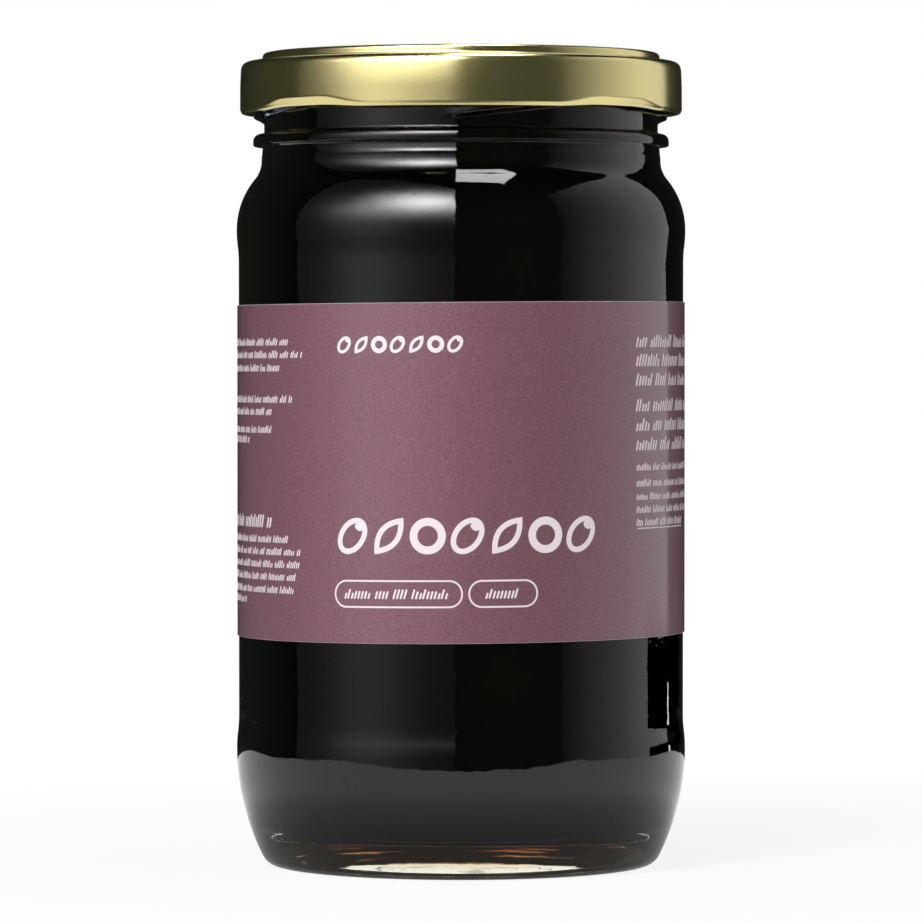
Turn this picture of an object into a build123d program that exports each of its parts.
from build123d import *

import math
import os

# Jar of olives: a glass jar with a four-lug twist-off cap, a wrap-round label, and olives in brine.
# Millimetres. The origin is the centre of the ring that the jar stands on, +Z is up, and the
# middle of the label faces -Y. Angles called "bearing" are measured from that front, positive
# towards +X, and heights are measured from the standing plane.

# --- Glass body -----------------------------------------------------------------------------
glass_height = 120.5          # standing plane to the top of the rim
panel_radius = 33.32          # recessed panel that the label sits in
band_projection = 0.31        # the two raised bands that meet the next jar on a shelf, beyond the panel
heel_height = 17.6            # height of the lower raised band
heel_inset = 4.6              # raised band in to where the heel's curve would meet the standing plane
heel_corner_radius = 2.7      # rounding between heel and standing ring
bearing_width = 4.0           # width of the flat standing ring
bearing_corner_radius = 1.2   # rounding between standing ring and push-up
push_up_height = 2.6          # hollow under the base, at its centre
band_fade = 4.9               # height over which a raised band falls away to the panel
shoulder_height = 10.3        # upper raised band to the foot of the neck
shoulder_turn = 0.74          # share of the shoulder that curves outwards, before it turns in

# --- Glass neck and finish ------------------------------------------------------------------
finish_radius = 29.5          # plain wall that the threads stand on
neck_flare = 0.4              # the neck is this much wider at its foot than the finish
neck_taper = 0.18             # the neck narrows by this much up to the bead
bead_projection = 1.65        # transfer bead, beyond the finish wall
bead_height = 1.9
bead_lower_round = 0.25
bead_upper_round = 1.2
bead_below_cap = 3.0          # gap between the bead's top and the cap's lower edge
neck_height = 2.1             # foot of the neck to the bead
rim_width = 2.7               # glass thickness at the rim
rim_round = 1.0
thread_projection = 1.65      # thread ridges, beyond the finish wall
thread_crest_height = 1.1
thread_root_height = 2.4
thread_crest_round = 0.35
thread_slope = 6.5            # degrees, rising to the right
thread_sweep = 67.0           # degrees of arc that each ridge covers
ridge_past_lug = 6.0          # degrees that a ridge runs on past its lug, at its high end
lug_count = 4                 # ridges on the glass, and lugs in the cap

# --- Inside of the glass --------------------------------------------------------------------
wall_thickness = 2.2
base_thickness = 3.8          # at the centre, above the push-up
floor_fall = 0.6              # the inner floor is this much lower at its edge than at its centre
inner_heel_radius = 9.0       # rounding between the inner floor and the wall
inner_shoulder_lag = 1.8      # the inner shoulder starts this much lower than the outer one

# --- Filling --------------------------------------------------------------------------------
headspace = 5.0               # rim to the level of the brine
filling_clearance = 0.05      # filling to glass

# --- Cap ------------------------------------------------------------------------------------
sheet_thickness = 0.2
cap_height = 9.1              # lower edge of the curl to the top of the raised ring
skirt_clearance = 1.75        # crest of the threads to the inside of the skirt
cap_shoulder_drop = 1.3       # raised ring down to the shoulder
cap_shoulder_round = 1.5
channel_play = 0.05           # finish wall to the inside of the raised ring
channel_outer_round = 0.6
channel_foot_round = 0.35
channel_inner_round = 0.5
channel_inner_slope = 0.5     # run of the sloping inner side of the raised ring
panel_recess = 1.1            # raised ring down to the centre panel
panel_play = 0.7              # bore of the glass to the cap's centre panel
button_radius = 17.0          # shallow pressed disc in the middle of the panel
button_drop = 0.35
button_round = 1.0
curl_radius = 0.6             # rolled lower edge
lug_wall_play = 0.85          # finish wall of the glass to the lug's tip
lug_thickness = 0.65
lug_sweep = 22.0              # degrees of arc that each lug covers
lug_bearing = 45.0            # bearing of the first lug
lug_play = 0.15               # lug to the ridge above it

# --- Sealing ring inside the cap ------------------------------------------------------------
liner_thickness = 0.8
liner_inset = 0.55            # raised ring's inner faces to the sealing ring

# --- Label ----------------------------------------------------------------------------------
label_thickness = 0.2
label_glue = 0.03
label_margin_below = 12.2     # foot of the panel to the label's lower edge
label_margin_above = 6.15     # label's upper edge to the top of the panel
label_skew = 0.45             # degrees, the right end is higher
label_lap_width = 7.0         # overlap of its ends, at the back

# --- Derived sizes --------------------------------------------------------------------------
contact_radius = panel_radius + band_projection
foot_radius = contact_radius - heel_inset
thread_radius = finish_radius + thread_projection
bead_radius = finish_radius + bead_projection
bore_radius = finish_radius - rim_width
inner_radius = panel_radius - wall_thickness

cap_top = glass_height + liner_thickness + sheet_thickness
cap_bottom = cap_top - cap_height
skirt_radius = thread_radius + skirt_clearance + sheet_thickness
curl_centre_radius = skirt_radius - curl_radius
channel_radius = finish_radius + channel_play + sheet_thickness
cap_panel_radius = bore_radius - panel_play - channel_inner_slope
lug_top = cap_bottom + lug_thickness
lug_tip_radius = finish_radius + lug_wall_play
thread_flank = (thread_root_height - thread_crest_height) / 2

bead_top = cap_bottom - bead_below_cap
bead_bottom = bead_top - bead_height
neck_foot = bead_bottom - neck_height
shoulder_start = neck_foot - shoulder_height
panel_bottom = heel_height + band_fade
panel_top = shoulder_start - band_fade

inner_floor = push_up_height + base_thickness
fill_level = glass_height - headspace

label_inner_radius = panel_radius + label_glue
label_bottom = panel_bottom + label_margin_below
label_top = panel_top - label_margin_above


def section_face(edges):
    """Close a run of edges drawn as (radius, height) into a face."""
    return make_face(Curve() + edges)


def turned(face, sweep=360.0, start=0.0):
    """Turn a (radius, height) face round the Z axis, from the start angle through the sweep."""
    upright = Rot(0, 0, start) * (Plane.XZ * face)
    return revolve(upright, Axis.Z, sweep)


def rounded(face, corners):
    """Round named corners of a face: each is (radius, height, rounding)."""
    for radius, height, rounding in corners:
        corner = face.vertices().sort_by_distance((radius, height, 0))[0]
        face = fillet(corner, rounding)
    return face


def ogee(start, end, share):
    """Two arcs that are both upright at their outer ends and meet at a share of the way."""
    start, end = Vector(start), Vector(end)
    meet = start + (end - start) * share
    return [
        TangentArc(start, meet, tangent=(0, 1)),
        TangentArc(meet, end, tangent=(0, -1), tangent_from_first=False),
    ]


def cavity_wall(top, clearance=0.0):
    """The inside of the glass from the centre of its floor up to a height, shrunk by a clearance."""
    bore = bore_radius - clearance
    wall = inner_radius - clearance
    corner = inner_heel_radius - clearance
    floor_centre = inner_floor + clearance
    floor_edge = floor_centre - floor_fall
    corner_foot = wall - corner
    corner_top = floor_edge + corner
    shoulder_foot = shoulder_start - inner_shoulder_lag
    return [
        TangentArc((0, floor_centre), (corner_foot, floor_edge), tangent=(1, 0)),
        RadiusArc((corner_foot, floor_edge), (wall, corner_top), -corner),
        Line((wall, corner_top), (wall, shoulder_foot)),
        *ogee((wall, shoulder_foot), (bore, neck_foot), shoulder_turn),
        Line((bore, neck_foot), (bore, top)),
    ]


def vessel_face():
    """Half section of the glass, without its threads."""
    bearing_inner = foot_radius - heel_corner_radius / 2 - bearing_width
    neck_foot_radius = finish_radius + neck_flare
    neck_top_radius = neck_foot_radius - neck_taper
    bead_lip = bead_bottom + bead_lower_round / 2
    edges = [
        TangentArc((0, push_up_height), (bearing_inner, 0), tangent=(1, 0)),
        Line((bearing_inner, 0), (foot_radius, 0)),
        TangentArc(
            (foot_radius, 0), (contact_radius, heel_height), tangent=(0, -1), tangent_from_first=False
        ),
        *ogee((contact_radius, heel_height), (panel_radius, panel_bottom), 0.5),
        Line((panel_radius, panel_bottom), (panel_radius, panel_top)),
        *ogee((panel_radius, panel_top), (contact_radius, shoulder_start), 0.5),
        *ogee((contact_radius, shoulder_start), (neck_foot_radius, neck_foot), shoulder_turn),
        Line((neck_foot_radius, neck_foot), (neck_top_radius, bead_bottom)),
        Line((neck_top_radius, bead_bottom), (bead_radius, bead_lip)),
        Line((bead_radius, bead_lip), (bead_radius, bead_top)),
        Line((bead_radius, bead_top), (finish_radius, bead_top)),
        Line((finish_radius, bead_top), (finish_radius, glass_height)),
        Line((finish_radius, glass_height), (bore_radius, glass_height)),
        *cavity_wall(glass_height),
        Line((0, inner_floor), (0, push_up_height)),
    ]
    return rounded(
        section_face(edges),
        [
            (bearing_inner, 0, bearing_corner_radius),
            (foot_radius, 0, heel_corner_radius),
            (bead_radius, bead_lip, bead_lower_round),
            (bead_radius, bead_top, bead_upper_round),
            (finish_radius, glass_height, rim_round),
            (bore_radius, glass_height, rim_round),
        ],
    )


def thread_ridge():
    """One thread ridge, centred on +X, with its underside's height at its middle as zero."""
    root_radius = finish_radius - rim_round
    half_root = thread_flank * (thread_radius - root_radius) / thread_projection
    face = make_face(
        Polyline(
            (root_radius, -half_root),
            (thread_radius, 0),
            (thread_radius, thread_crest_height),
            (root_radius, thread_crest_height + half_root),
            close=True,
        )
    )
    face = rounded(
        face,
        [
            (thread_radius, 0, thread_crest_round),
            (thread_radius, thread_crest_height, thread_crest_round),
        ],
    )
    level_ridge = turned(face, thread_sweep, -thread_sweep / 2)
    return Rot(thread_slope, 0, 0) * level_ridge


def jar_glass():
    """The glass jar: its turned body, and the thread ridges that the cap's lugs hold under."""
    vessel = turned(vessel_face())
    # Each lug holds under its ridge: the two are closest at the lug's lower end, at the lug's tip.
    lug_low_end = lug_bearing - lug_sweep / 2
    ridge_bearing = lug_bearing + lug_sweep / 2 + ridge_past_lug - thread_sweep / 2
    arc_length = math.radians(lug_low_end - ridge_bearing) * thread_radius
    rise = arc_length * math.tan(math.radians(thread_slope))
    slant = thread_flank * (thread_radius - lug_tip_radius) / thread_projection
    underside = lug_top + lug_play + slant - rise
    for index in range(lug_count):
        turn = ridge_bearing - 90.0 + index * 360.0 / lug_count
        vessel += Pos(0, 0, underside) * Rot(0, 0, turn) * thread_ridge()
    return vessel


def olives_in_brine():
    """The filling: olives and their brine as one body, up to the brine's level."""
    edges = [
        *cavity_wall(fill_level, filling_clearance),
        Line((bore_radius - filling_clearance, fill_level), (0, fill_level)),
        Line((0, fill_level), (0, inner_floor + filling_clearance)),
    ]
    return turned(section_face(edges))


def cap_sheet_face():
    """Half section of the cap's pressed sheet, from its centre out and down to the rolled edge."""
    panel_top_height = cap_top - panel_recess
    button_height = panel_top_height - button_drop
    shoulder_height_z = cap_top - cap_shoulder_drop
    curl_centre_height = cap_bottom + curl_radius
    pressed = FilletPolyline(
        (0, button_height),
        (button_radius, button_height),
        (button_radius + 2 * button_round, panel_top_height),
        (cap_panel_radius, panel_top_height),
        (cap_panel_radius + channel_inner_slope, cap_top),
        (channel_radius, cap_top),
        (channel_radius, shoulder_height_z),
        (skirt_radius, shoulder_height_z),
        (skirt_radius, curl_centre_height),
        radius=[
            button_round,
            button_round,
            channel_inner_round,
            channel_inner_round,
            channel_outer_round,
            channel_foot_round,
            cap_shoulder_round,
        ],
    )
    curl = CenterArc((curl_centre_radius, curl_centre_height), curl_radius, 0, -270)
    outline = Curve() + [pressed, curl]
    sheet = offset(outline, sheet_thickness, side=Side.RIGHT)
    return make_face(sheet)


def twist_cap():
    """The cap: pressed sheet with a rolled edge, and four lugs folded in from the roll."""
    cap = turned(cap_sheet_face())
    lug_root = curl_centre_radius - sheet_thickness
    lug_nose = 0.45 * lug_thickness
    lug_face = rounded(
        make_face(
            Polyline(
                (lug_tip_radius, cap_bottom),
                (lug_root, cap_bottom),
                (lug_root, lug_top),
                (lug_tip_radius, lug_top),
                close=True,
            )
        ),
        [(lug_tip_radius, cap_bottom, lug_nose), (lug_tip_radius, lug_top, lug_nose)],
    )
    for index in range(lug_count):
        middle = lug_bearing - 90.0 + index * 360.0 / lug_count
        cap += turned(lug_face, lug_sweep, middle - lug_sweep / 2)
    return cap


def cap_liner():
    """The sealing ring inside the cap's raised ring, pressed on the glass rim."""
    inner = cap_panel_radius + channel_inner_slope + sheet_thickness + liner_inset
    outer = channel_radius - sheet_thickness - liner_inset
    ring = Cylinder(outer, liner_thickness) - Cylinder(inner, liner_thickness)
    return Pos(0, 0, glass_height + liner_thickness / 2) * ring


def label():
    """The label: a sleeve cut slightly askew, with its ends lapped at the back."""
    label_radius = label_inner_radius + label_thickness
    slack = label_radius
    length = label_top - label_bottom
    middle = (label_top + label_bottom) / 2
    paper = Rectangle(label_thickness, length + slack)
    sleeve = turned(Pos(label_inner_radius + label_thickness / 2, middle) * paper)
    lap_sweep = math.degrees(label_lap_width / label_radius)
    lap_face = Pos(label_radius + label_thickness / 2, middle) * paper
    sleeve += turned(lap_face, lap_sweep, 90.0 - lap_sweep / 2)
    slab = Box(3 * label_radius, 3 * label_radius, length)
    askew_slab = Pos(0, 0, middle) * Rot(0, -label_skew, 0) * slab
    return sleeve & askew_slab


def main():
    """Build every piece and write it as STEP."""
    pieces = {
        "jar_glass": jar_glass(),
        "olives_in_brine": olives_in_brine(),
        "twist_cap": twist_cap(),
        "cap_liner": cap_liner(),
        "label": label(),
    }
    os.makedirs("parts", exist_ok=True)
    for name, piece in pieces.items():
        piece.label = name
        export_step(piece, f"parts/{name}.step")
        box = piece.bounding_box()
        print(name, len(piece.solids()), round(piece.volume), box.min, box.max)


main()
